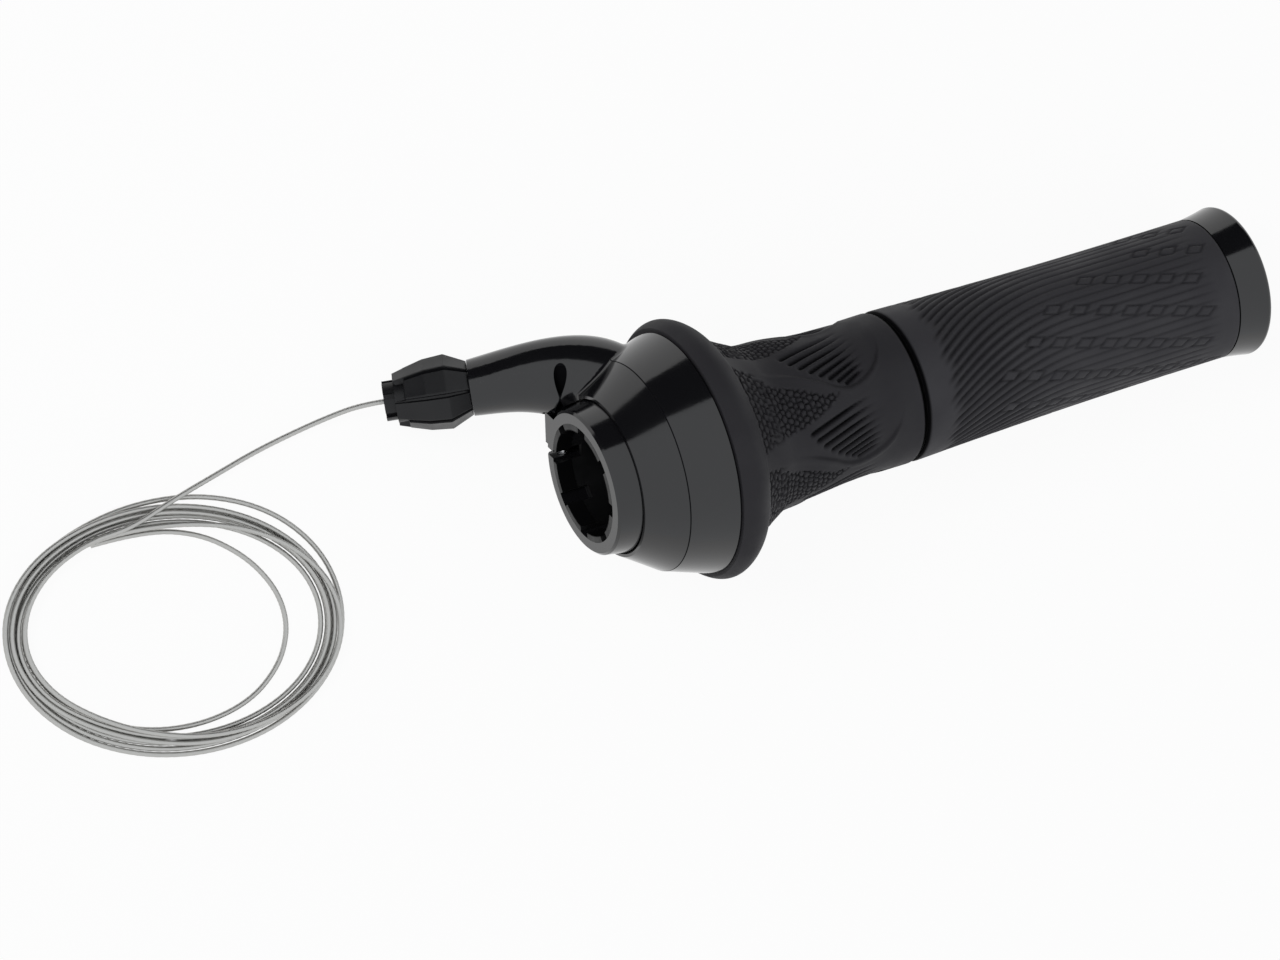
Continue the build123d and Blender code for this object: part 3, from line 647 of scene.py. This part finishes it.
# turning grip: flange, pebbled panels, scoops with flame grooves
# a run is where a form starts, is full, begins to fade and ends, and a band is its middle and its width
twistGrip = {
    "columns": 384,
    "flangeX": 22.55,
    # the two curves of the outline, and how hard each is pulled at its ends
    "brow": [(22.55, 26.3), (25.7, 27.4), (29.25, 25.2), (37.15, 18.9)],
    "browPulls": ((0.94, 0.75), (2.6, -1.3)),
    "browRows": 72,
    "waist": [(37.15, 18.9), (39.15, 17.9), (43.85, 17.35), (54.85, 16.35), (70.85, 16.2)],
    "waistPulls": ((0.9, -0.45), (1.0, 0.0)),
    "waistRows": 128,
    "end": 71.45,
    "endRadius": 15.6,
    "endRound": (0.18, 0.42),
    "bore": 15.07,
    "seatX": 24.18,
    "plate": 23.83,
    "units": 6,
    "unitStart": -110.0,
    "meanRadius": 16.8,
    # edge between scoop and panel, then the rim of the scoop: place along the bar, angle
    "rim": [
        (30, 42), (33, 44), (37, 47), (40, 50), (43, 53), (46, 57), (50, 64), (52, 69),
        (54, 72.5), (56, 74), (58, 73), (60, 70.5), (62, 66.5), (64, 60), (65.5, 52), (67, 38),
    ],
    "scoopDepth": 0.5,
    "scoopRun": (40.0, 47.0, 64.0, 67.0),
    "scoopEdge": 0.55,
    "scoopFade": 5.0,
    "scoopWide": 15,
    "rimShade": 0.4,
    "rimShadeBand": (0.3, 0.35),
    "lip": 0.16,
    "lipBand": (-0.5, 0.7),
    "lipRun": (36, 40, 63, 66),
    "panelLow": [(30, 98), (36, 96), (43, 93), (47, 89), (50.9, 83), (52.5, 78.5), (54, 74.5), (56, 70)],
    "panelRun": (30.2, 31.2, 53.4, 54.2),
    "panelEdge": (0.7, 1.1),
    "panelLowEdge": (0.2, 0.9),
    "bareBand": 1.9,
    "bareBandRun": (35.0, 39.0, 49.5, 53.0),
    "pebble": 1.35,
    "pebbleDepth": 0.45,
    "pebbleLevel": 0.85,
    "pebbleShade": 0.75,
    "pebbleRows": 25,
    "pebbleColumns": 26,
    "pebbleStart": (28.0, 11.0),
    "pebbleRowPitch": 0.9,
    "pebbleShake": 0.26,
    "pebbleSeam": 0.55,
    "pebbleSeed": 7,
    # flame grooves: start place and angle, end place and angle
    "flames": [
        (44.0, 38, 60.5, 22),
        (45.2, 44, 61.2, 28),
        (46.8, 49.5, 61.6, 34),
        (48.6, 54.5, 61.9, 39.5),
        (50.4, 59, 62.0, 45),
        (52.2, 63, 61.9, 50.5),
        (53.9, 66.5, 61.5, 56),
        (55.5, 69.8, 61.0, 61.5),
    ],
    "flameDepth": 0.95,
    "flameWidth": 0.48,
    "flameTaper": 0.5,
    "flameRun": (-0.03, 0.07, 0.45, 1.05),
    "flameShade": 1.5,
    "flameShadePower": 1.4,
    "deepest": 0.95,
}


def pebbles(along, across):
    # cobbled skin: rounded cells on a shaken grid
    size = twistGrip["pebble"]
    startX, startY = twistGrip["pebbleStart"]
    dice = np.random.default_rng(twistGrip["pebbleSeed"])
    seeds = []
    for rowIndex in range(twistGrip["pebbleRows"]):
        for columnIndex in range(twistGrip["pebbleColumns"]):
            shift = 0.5 * (rowIndex % 2)
            seedX = startX + rowIndex * size * twistGrip["pebbleRowPitch"]
            seeds.append((seedX, startY + (columnIndex + shift) * size))
    shake = twistGrip["pebbleShake"]
    seeds = np.array(seeds) + dice.uniform(-shake, shake, (len(seeds), 2)) * size
    first = np.full(len(along), np.inf)
    second = np.full(len(along), np.inf)
    for seedX, seedY in seeds:
        gap = np.hypot(along - seedX, across - seedY)
        second = np.minimum(second, np.maximum(first, gap))
        first = np.minimum(first, gap)
    return ease(second - first, 0.0, twistGrip["pebbleSeam"])


def flameGroove(along, local, perDegree, flame):
    startX, startAngle, endX, endAngle = flame
    runX = endX - startX
    runY = (endAngle - startAngle) * perDegree
    run = math.hypot(runX, runY)
    offX = along - startX
    offY = (local - startAngle) * perDegree
    t = (offX * runX + offY * runY) / run**2
    side = (offX * runY - offY * runX) / run
    width = twistGrip["flameWidth"] * (1.0 - twistGrip["flameTaper"] * np.clip(t, 0, 1))
    return swell(t, *twistGrip["flameRun"]) * ridge(side, 0, width)


def twistRelief(along, angle):
    height = np.zeros(len(along))
    # painted shade, from the scoops' rims, the gaps between pebbles and the flame grooves
    paintedShade = np.zeros(len(along))
    perDegree = math.radians(1) * twistGrip["meanRadius"]
    rim = np.interp(along, *zip(*twistGrip["rim"]))
    low = np.interp(along, *zip(*twistGrip["panelLow"]))
    scoopRun = swell(along, *twistGrip["scoopRun"])
    lipRun = swell(along, *twistGrip["lipRun"])
    panelRun = swell(along, *twistGrip["panelRun"])
    band = twistGrip["bareBand"] * swell(along, *twistGrip["bareBandRun"])
    unitStart = twistGrip["unitStart"]
    for unit in range(twistGrip["units"]):
        local = (angle - 360.0 / twistGrip["units"] * unit - unitStart) % 360.0 + unitStart
        intoScoop = (rim - local) * perDegree
        # scoop, deepest under its rim, with painted shade along the rim and a low lip beside it
        fade = np.exp(-np.maximum(intoScoop, 0) / twistGrip["scoopFade"])
        scoop = ease(intoScoop, 0.0, twistGrip["scoopEdge"]) * fade
        height -= twistGrip["scoopDepth"] * scoop * scoopRun * (intoScoop < twistGrip["scoopWide"])
        paintedShade += twistGrip["rimShade"] * ridge(intoScoop, *twistGrip["rimShadeBand"]) * scoopRun
        height += twistGrip["lip"] * ridge(intoScoop, *twistGrip["lipBand"]) * lipRun
        # pebbled panel, with painted shade between the pebbles
        inside = ease(-intoScoop - band, *twistGrip["panelEdge"]) * panelRun
        inside = inside * ease((low - local) * perDegree, *twistGrip["panelLowEdge"])
        where = inside > 0.001
        if where.any():
            bumps = pebbles(along[where], local[where] * perDegree)
            height[where] += inside[where] * twistGrip["pebbleDepth"] * (bumps - twistGrip["pebbleLevel"])
            paintedShade[where] += inside[where] * twistGrip["pebbleShade"] * (1 - bumps)
        for flame in twistGrip["flames"]:
            groove = flameGroove(along, local, perDegree, flame)
            height -= twistGrip["flameDepth"] * groove
            paintedShade += twistGrip["flameShade"] * groove ** twistGrip["flameShadePower"]
    return np.maximum(height, -twistGrip["deepest"]), np.clip(paintedShade, 0, 1)


def makeTwistGrip():
    brow = splineLine(twistGrip["brow"], twistGrip["browRows"], *twistGrip["browPulls"])
    waist = splineLine(twistGrip["waist"], twistGrip["waistRows"], *twistGrip["waistPulls"])
    outline = [(x, r, 1.0) for x, r in brow[:-1]]
    outline += [(x, r, 1.0) for x, r in waist]
    end, bore = twistGrip["end"], twistGrip["bore"]
    roundX, roundR = twistGrip["endRound"]
    outline += [
        (end - roundX, twistGrip["endRadius"] + roundR, 0),
        (end, twistGrip["endRadius"], 0),
        (end, bore, 0),
        (twistGrip["seatX"], bore, 0),
        (twistGrip["seatX"], twistGrip["plate"], 0),
        (twistGrip["flangeX"], twistGrip["plate"], 0),
    ]
    sleeve = wrapSleeve("twistGripRubber", outline, twistGrip["columns"], twistRelief, barTurn)
    giveMaterial(sleeve, finishes["grip_rubber"])
    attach(sleeve, "twist_grip")
    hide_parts("twist_rubber")
    print("stage: turning grip", len(sleeve.data.polygons), "faces")


makeTwistGrip()

# outer grip: combed grooves that bend into fine lines, with rows of diamond outlines
outerGrip = {
    "columns": 384,
    "rows": 214,
    "start": 72.45,
    "startRadius": 15.6,
    "startRound": (0.18, 0.42),
    "side": [(73.05, 16.2), (110.95, 15.3), (149.45, 15.2)],
    "end": 149.45,
    "endRadius": 14.8,
    "endRound": (0.1, 0.2),
    "core": 12.33,
    "flange": 15.33,
    "flangeEnd": 73.88,
    "meanRadius": 15.6,
    "grooves": 52,
    "grooveStart": 5.0,
    "grooveFade": (-0.4, 2.5),
    # the grooves start at different places, in so many steps, going on by a stride from one to the next
    "stagger": 1.4,
    "staggerSteps": 5,
    "staggerStride": 7,
    "bend": 34.0,
    "slope": 2.45,
    "strongUntil": 8.0,
    "grooveDepth": 0.45,
    "grooveWidth": 0.46,
    "grooveShade": 0.75,
    "grooveShadePower": 0.7,
    "lineDepth": 0.16,
    "lineWidth": 0.26,
    "lineEnd": (66.0, 73.0),
    "diamondPitch": 5.75,
    "diamondClimb": 1.105,
    "rowAngle": 75.0,
    "rowPlace": 46.0,
    "rowEnd": 72.0,
    # where each row of diamonds starts, going round
    "rowStarts": [34.1, 27.4, 20.2, 20.2, 27.0, 34.0, 44.0, 20.2, 27.4, 44.0, 60.0, 60.0, 44.5],
    # the two sides of a diamond, and how far from its middle it reaches: along the bar, round the bar
    "diamondSide": (3.0, 0.8),
    "diamondSlant": (1.85, -1.6),
    "diamondReach": (4.5, 2.6),
    "diamondHalf": 0.85,
    "diamondDepth": 0.26,
    "diamondLine": 0.2,
    "diamondClear": (-0.1, 0.25),
    "diamondShade": 1.7,
}


def combedLines(place, angle, perDegree):
    pitch = 360.0 / outerGrip["grooves"]
    bent = np.clip(place - outerGrip["grooveStart"], 0, outerGrip["bend"])
    sweep = -outerGrip["slope"] * (bent - bent**2 / (2 * outerGrip["bend"]))
    lane = (angle - sweep) / pitch
    index = np.floor(lane) % outerGrip["grooves"]
    side = (lane - np.floor(lane) - 0.5) * pitch * perDegree
    steps = outerGrip["staggerSteps"]
    late = (index * outerGrip["staggerStride"]) % steps / (steps - 1)
    begin = outerGrip["grooveStart"] + outerGrip["stagger"] * late
    strong = 1 - ease(bent, outerGrip["strongUntil"], outerGrip["bend"])
    depth = outerGrip["lineDepth"] + (outerGrip["grooveDepth"] - outerGrip["lineDepth"]) * strong
    width = outerGrip["lineWidth"] + (outerGrip["grooveWidth"] - outerGrip["lineWidth"]) * strong
    fadeFrom, fadeTo = outerGrip["grooveFade"]
    run = swell(place, begin + fadeFrom, begin + fadeTo, *outerGrip["lineEnd"])
    return depth * run * ridge(side, 0, width)


def diamondEdge(offX, offY):
    # 0 on the outline of a diamond, less inside it
    sideX, sideY = outerGrip["diamondSide"]
    slantX, slantY = outerGrip["diamondSlant"]
    area = sideX * slantY - sideY * slantX
    first = (offX * slantY - offY * slantX) / area
    second = (sideX * offY - sideY * offX) / area
    return (2 * np.maximum(np.abs(first), np.abs(second)) - 1.0) * outerGrip["diamondHalf"]


def outerRelief(along, angle):
    perDegree = math.radians(1) * outerGrip["meanRadius"]
    place = along - outerGrip["start"]
    lines = combedLines(place, angle, perDegree)
    cuts = np.zeros(len(along))
    clear = np.ones(len(along))
    rows = len(outerGrip["rowStarts"])
    reachX, reachY = outerGrip["diamondReach"]
    for row, start in enumerate(outerGrip["rowStarts"]):
        middle = start
        while middle < outerGrip["rowEnd"]:
            turn = outerGrip["rowAngle"] + row * 360.0 / rows
            turn += (middle - outerGrip["rowPlace"]) * outerGrip["diamondClimb"]
            across = ((angle - turn + 180.0) % 360.0 - 180.0) * perDegree
            near = (np.abs(place - middle) < reachX) & (np.abs(across) < reachY)
            edge = diamondEdge(place[near] - middle, across[near])
            line = outerGrip["diamondDepth"] * ridge(edge, 0, outerGrip["diamondLine"])
            cuts[near] = np.maximum(cuts[near], line)
            clear[near] = np.minimum(clear[near], ease(edge, *outerGrip["diamondClear"]))
            middle += outerGrip["diamondPitch"]
    lines = lines * clear
    # painted shade in the grooves and the diamond outlines
    paintedShade = outerGrip["grooveShade"] * (lines / outerGrip["grooveDepth"]) ** outerGrip["grooveShadePower"]
    paintedShade += outerGrip["diamondShade"] * cuts
    return -lines - cuts, np.clip(paintedShade, 0, 1)


def makeOuterGrip():
    side = splineLine(outerGrip["side"], outerGrip["rows"])
    start, end = outerGrip["start"], outerGrip["end"]
    startX, startR = outerGrip["startRound"]
    endX, endR = outerGrip["endRound"]
    outline = [
        (start, outerGrip["startRadius"], 0),
        (start + startX, outerGrip["startRadius"] + startR, 0),
    ]
    outline += [(x, r, 1.0) for x, r in side[:-1]]
    outline += [
        (end - endX, outerGrip["endRadius"] + endR, 0),
        (end, outerGrip["endRadius"], 0),
        (end, outerGrip["core"], 0),
        (outerGrip["flangeEnd"], outerGrip["core"], 0),
        (outerGrip["flangeEnd"], outerGrip["flange"], 0),
        (start, outerGrip["flange"], 0),
    ]
    sleeve = wrapSleeve("outerGripRubber", outline, outerGrip["columns"], outerRelief, barTurn)
    giveMaterial(sleeve, finishes["outer_rubber"])
    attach(sleeve, "shifter")
    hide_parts("rest_rubber")
    print("stage: outer grip", len(sleeve.data.polygons), "faces")


makeOuterGrip()

# adjuster knob: flat pads with grooves between, every second pad shorter
knob = {
    "tip": (-12.5707, 22.9928, -17.2162),
    "columns": 192,
    "rows": 62,
    "side": [(0.15, 5.6), (4.6, 7.75), (9.0, 7.35), (13.0, 6.2), (15.4, 5.45)],
    "pads": 8,
    "firstPad": -74.5,
    "flatHalf": 19.0,
    "grooveDepth": 0.75,
    "grooveEdge": 1.2,
    "shortEnd": 13.3,
    "stem": 4.75,
    "bore": 4.2,
    "threadBore": 3.3,
    "shoulder": 4.6,
}


def knobRelief(along, angle):
    pitch = 360.0 / knob["pads"]
    lane = (angle - knob["firstPad"]) / pitch + 0.5
    off = (lane - np.floor(lane) - 0.5) * pitch
    odd = np.floor(lane) % 2
    radius = np.interp(along, *zip(*knob["side"]))
    half = knob["flatHalf"]
    flat = radius * math.cos(math.radians(half)) / np.cos(np.radians(np.clip(off, -half, half)))
    groove = ease(np.abs(off), half, half + knob["grooveEdge"])
    height = flat - radius - knob["grooveDepth"] * groove
    short = (along > knob["shortEnd"]) & (odd == 0)
    return np.where(short, knob["stem"] - radius, height), groove


def makeKnob():
    sideX, sideR = zip(*knob["side"])
    places = np.linspace(sideX[0], sideX[-1], knob["rows"])
    outline = [(x, float(np.interp(x, sideX, sideR)), 1.0) for x in places]
    outline += [
        (sideX[-1], knob["bore"], 0),
        (knob["shoulder"], knob["bore"], 0),
        (knob["shoulder"], knob["threadBore"], 0),
        (sideX[0], knob["threadBore"], 0),
    ]
    way = Vector(cable["leaving"]).normalized()
    up = barTurn.to_3x3() @ Vector(shot["up"])
    up = (up - way * up.dot(way)).normalized()
    turn = Matrix((way, up, way.cross(up))).transposed().to_4x4()
    stand = Matrix.Translation(Vector(knob["tip"]) * mm) @ turn
    piece = wrapSleeve("adjusterKnob", outline, knob["columns"], knobRelief, stand)
    giveMaterial(piece, finishes["adjuster_plastic"])
    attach(piece, "adjuster_knob")
    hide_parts("adjuster_knob")
    print("stage: knob", len(piece.data.polygons), "faces")


makeKnob()

# pale bench, even sky, a dark card behind the top edge of the picture, and soft boxes
studio = {
    "benchSize": 6.0,
    "benchDrop": 0.00005,
    "benchColour": (0.86, 0.86, 0.86),
    "whiteShare": 0.94,
    "mattRoughness": 0.9,
    "mattSpecular": 0.1,
    "skySeen": 1.0,
    "skyLight": 0.4,
    "skyColour": (0.96, 0.98, 1.0),
    "cardPlace": (0.0, 0.85, 0.4),
    "cardWide": 3.0,
    "cardHigh": 0.85,
    "cardColour": (0.01, 0.01, 0.012),
    # name, place, size, watts
    "softBoxes": [
        ("keyBox", (-0.7, 0.5, 0.95), 0.5, 6.0),
        ("fillBox", (0.6, -0.7, 0.9), 0.9, 2.0),
    ],
    "boxAim": (0.03, 0, 0),
}


def mattMaterial(name, colour):
    return newMaterial(name, colour, studio["mattRoughness"], specular=studio["mattSpecular"])


def seenRays(owner):
    # 1 for the rays that the camera, a mirror or a glass sees by
    path = owner.node_tree.nodes.new("ShaderNodeLightPath")
    seen = maths(owner, "MAXIMUM", path.outputs["Is Camera Ray"], path.outputs["Is Glossy Ray"])
    return maths(owner, "MAXIMUM", seen, path.outputs["Is Transmission Ray"])


def whiteWhenSeen(material, shader):
    # such rays see white, with the shadow kept under it
    nodes = material.node_tree.nodes
    links = material.node_tree.links
    share = maths(material, "MULTIPLY", seenRays(material), studio["whiteShare"])
    white = nodes.new("ShaderNodeEmission")
    white.inputs["Color"].default_value = (1, 1, 1, 1)
    white.inputs["Strength"].default_value = 1.0
    mix = nodes.new("ShaderNodeMixShader")
    links.new(share, mix.inputs["Fac"])
    links.new(shader.outputs["BSDF"], mix.inputs[1])
    links.new(white.outputs["Emission"], mix.inputs[2])
    links.new(mix.outputs["Shader"], nodes["Material Output"].inputs["Surface"])


def setBench():
    pick()
    height = benchHeight * mm - studio["benchDrop"]
    bpy.ops.mesh.primitive_plane_add(size=studio["benchSize"], location=(0, 0, height))
    bench = bpy.context.object
    bench.name = "bench"
    material, shader = mattMaterial("benchWhite", studio["benchColour"])
    whiteWhenSeen(material, shader)
    giveMaterial(bench, material)


def setSky():
    world = bpy.data.worlds.new("studioSky")
    bpy.context.scene.world = world
    world.use_nodes = True
    backdrop = world.node_tree.nodes["Background"]
    backdrop.inputs["Color"].default_value = (*studio["skyColour"], 1)
    level = world.node_tree.nodes.new("ShaderNodeMapRange")
    level.inputs["To Min"].default_value = studio["skyLight"]
    level.inputs["To Max"].default_value = studio["skySeen"]
    world.node_tree.links.new(seenRays(world), level.inputs["Value"])
    world.node_tree.links.new(level.outputs["Result"], backdrop.inputs["Strength"])


def setCard():
    bpy.ops.mesh.primitive_plane_add(size=1, location=studio["cardPlace"], rotation=(math.pi / 2, 0, 0))
    card = bpy.context.object
    card.name = "darkCard"
    card.scale = (studio["cardWide"], studio["cardHigh"], 1)
    material, shader = mattMaterial("cardBlack", studio["cardColour"])
    giveMaterial(card, material)
    card.visible_camera = False  # it shows in the gloss only
    card.visible_diffuse = False
    card.visible_shadow = False
    card.visible_transmission = False


def setSoftBoxes():
    for name, place, size, watts in studio["softBoxes"]:
        bpy.ops.object.light_add(type="AREA", location=place)
        box = bpy.context.object
        box.name = name
        box.data.size = size
        box.data.energy = watts
        box.visible_glossy = False
        way = Vector(studio["boxAim"]) - Vector(place)
        box.rotation_euler = way.to_track_quat("-Z", "Y").to_euler()


setBench()
setSky()
setCard()
setSoftBoxes()
bpy.context.scene.view_settings.view_transform = "Standard"
print("stage: studio")
